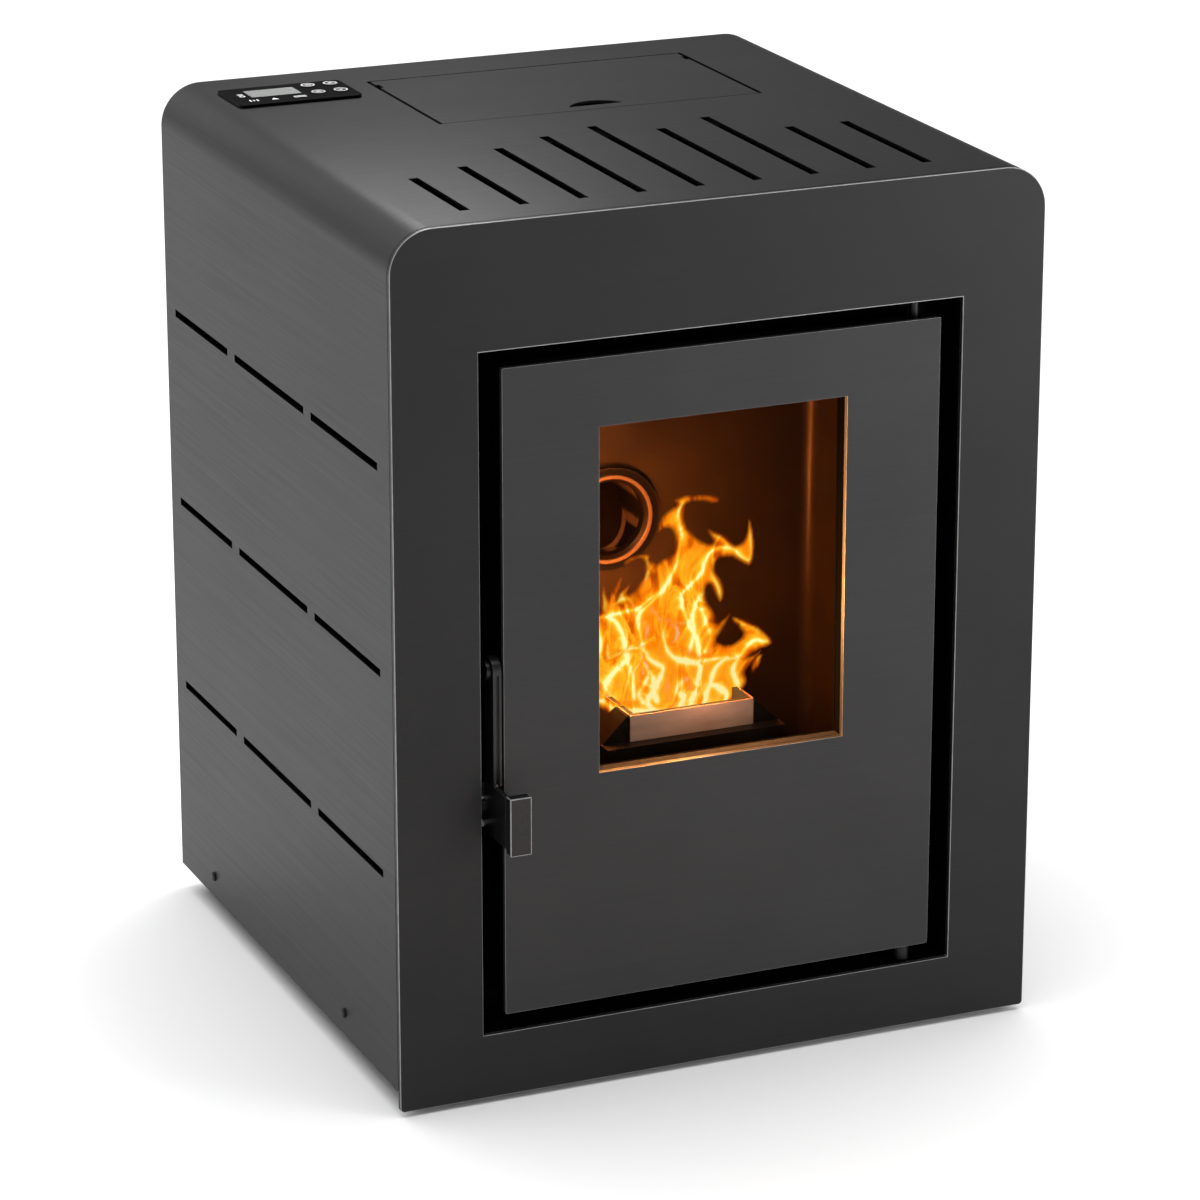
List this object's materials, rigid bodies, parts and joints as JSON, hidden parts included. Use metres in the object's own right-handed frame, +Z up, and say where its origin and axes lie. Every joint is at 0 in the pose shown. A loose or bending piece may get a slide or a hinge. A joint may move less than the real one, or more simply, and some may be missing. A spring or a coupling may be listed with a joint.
{
  "type": "pellet stove",
  "caption": "Free-standing pellet stove with a windowed steel door, a top hopper lid, an auger feed, a burn pot and rear flue and air pipes.",
  "frame": {"origin": "middle of the footprint, on the floor", "axes": "+Z up; the front with the door faces -Y; +X is to the right of someone who looks at the front"},
  "size_m": [0.4646, 0.518, 0.6028],
  "materials": {
    "anthracite_paint": "fine satin paint on steel sheet",
    "black_paint": "matt heat-resistant paint",
    "plain_steel": "galvanised or bare steel sheet",
    "fire_steel": "heat-resistant paint, darkened by fire",
    "pot_steel": "heat-tinted stainless steel",
    "stove_glass": "clear glass ceramic",
    "rope": "braided glass-fibre rope",
    "rubber": "moulded rubber",
    "motor_grey": "cast and painted motor bodies",
    "black_plastic": "moulded plastic",
    "display": "small reflective display, unlit",
    "keys": "pale moulded keys",
    "reset_red": "red moulded button"
  },
  "bodies": {
    "body": {"casing": "anthracite_paint", "front_plate": "anthracite_paint", "rear_panel": "black_paint", "base_pan": "black_paint", "opening_surround": "black_paint", "side_screw_left_1": "black_paint", "side_screw_left_2": "black_paint", "side_screw_right_1": "black_paint", "side_screw_right_2": "black_paint", "lid_bracket_left": "black_paint", "lid_bracket_right": "black_paint", "flue_spigot": "black_paint", "latch_keeper": "plain_steel", "firebox_stand": "plain_steel", "ash_pan": "plain_steel", "air_intake_pipe": "plain_steel", "igniter": "plain_steel", "auger_tube": "plain_steel", "hopper": "plain_steel", "hopper_guard": "plain_steel", "flue_duct": "plain_steel", "smoke_fan_housing": "plain_steel", "blower_housing": "plain_steel", "firebox": "fire_steel", "baffle_plate": "fire_steel", "burn_pot_holder": "fire_steel", "pellet_chute": "fire_steel", "foot_front_left": "rubber", "foot_front_right": "rubber", "foot_rear_left": "rubber", "foot_rear_right": "rubber", "auger_gearmotor": "motor_grey", "smoke_fan_motor": "motor_grey", "blower_motor": "motor_grey", "control_panel": "black_plastic", "control_board": "black_plastic", "power_inlet": "black_plastic", "overheat_thermostat": "black_plastic", "panel_display": "display"},
    "door": {"door_plate": "anthracite_paint", "door_frame": "black_paint", "door_glass": "stove_glass", "glass_retainer": "plain_steel", "door_rope_seal": "rope", "door_hinge_pin_top": "plain_steel", "door_hinge_pin_bottom": "plain_steel", "handle_pivot_pin": "black_paint"},
    "handle": {"handle_lever": "black_paint", "handle_grip": "anthracite_paint"},
    "lid": {"hopper_lid": "anthracite_paint"},
    "burn_pot": {"burn_pot": "pot_steel"},
    "auger": {"auger_screw": "plain_steel"},
    "smoke_fan": {"smoke_fan_impeller": "plain_steel"},
    "room_fan": {"blower_wheel": "plain_steel"},
    "key_1": {"key_1": "keys"},
    "key_2": {"key_2": "keys"},
    "key_3": {"key_3": "keys"},
    "key_4": {"key_4": "keys"},
    "mains_switch": {"mains_switch": "black_plastic"},
    "reset_button": {"overheat_reset_button": "reset_red"}
  },
  "joints": [
    {"name": "door_hinge", "type": "hinge", "parent": "body", "child": "door", "pos_m": [0.141, -0.219, 0.283], "axis": [0, 0, 1], "range_deg": [0, 105]},
    {"name": "handle_pivot", "type": "hinge", "parent": "door", "child": "handle", "pos_m": [-0.1595, -0.222, 0.301], "axis": [-1, 0, 0], "range_deg": [0, 20]},
    {"name": "lid_hinge", "type": "hinge", "parent": "body", "child": "lid", "pos_m": [0.0262, 0.1521, 0.5947], "axis": [-1, 0, 0], "range_deg": [0, 95]},
    {"name": "burn_pot_lift", "type": "slide", "parent": "body", "child": "burn_pot", "axis": [0, 0, 1], "range_m": [0, 0.06]},
    {"name": "auger_spin", "type": "hinge", "parent": "body", "child": "auger", "pos_m": [0, 0.069, 0.385], "axis": [0, 1, 0], "continuous": true},
    {"name": "smoke_fan_spin", "type": "hinge", "parent": "body", "child": "smoke_fan", "pos_m": [0.102, 0.069, 0.0823], "axis": [1, 0, 0], "continuous": true},
    {"name": "room_fan_spin", "type": "hinge", "parent": "body", "child": "room_fan", "pos_m": [-0.16, 0.099, 0.0753], "axis": [1, 0, 0], "continuous": true},
    {"name": "key_1_press", "type": "slide", "parent": "body", "child": "key_1", "axis": [0, 0, -1], "range_m": [0, 0.0006], "stiffness_N_per_m": 300, "springref_m": -0.001},
    {"name": "key_2_press", "type": "slide", "parent": "body", "child": "key_2", "axis": [0, 0, -1], "range_m": [0, 0.0006], "stiffness_N_per_m": 300, "springref_m": -0.001},
    {"name": "key_3_press", "type": "slide", "parent": "body", "child": "key_3", "axis": [0, 0, -1], "range_m": [0, 0.0006], "stiffness_N_per_m": 300, "springref_m": -0.001},
    {"name": "key_4_press", "type": "slide", "parent": "body", "child": "key_4", "axis": [0, 0, -1], "range_m": [0, 0.0006], "stiffness_N_per_m": 300, "springref_m": -0.001},
    {"name": "mains_switch_rock", "type": "hinge", "parent": "body", "child": "mains_switch", "pos_m": [-0.17, 0.216, 0.2335], "axis": [1, 0, 0], "range_deg": [0, 16]},
    {"name": "reset_press", "type": "slide", "parent": "body", "child": "reset_button", "axis": [0, -1, 0], "range_m": [0, 0.0008], "stiffness_N_per_m": 300, "springref_m": -0.001}
  ]
}
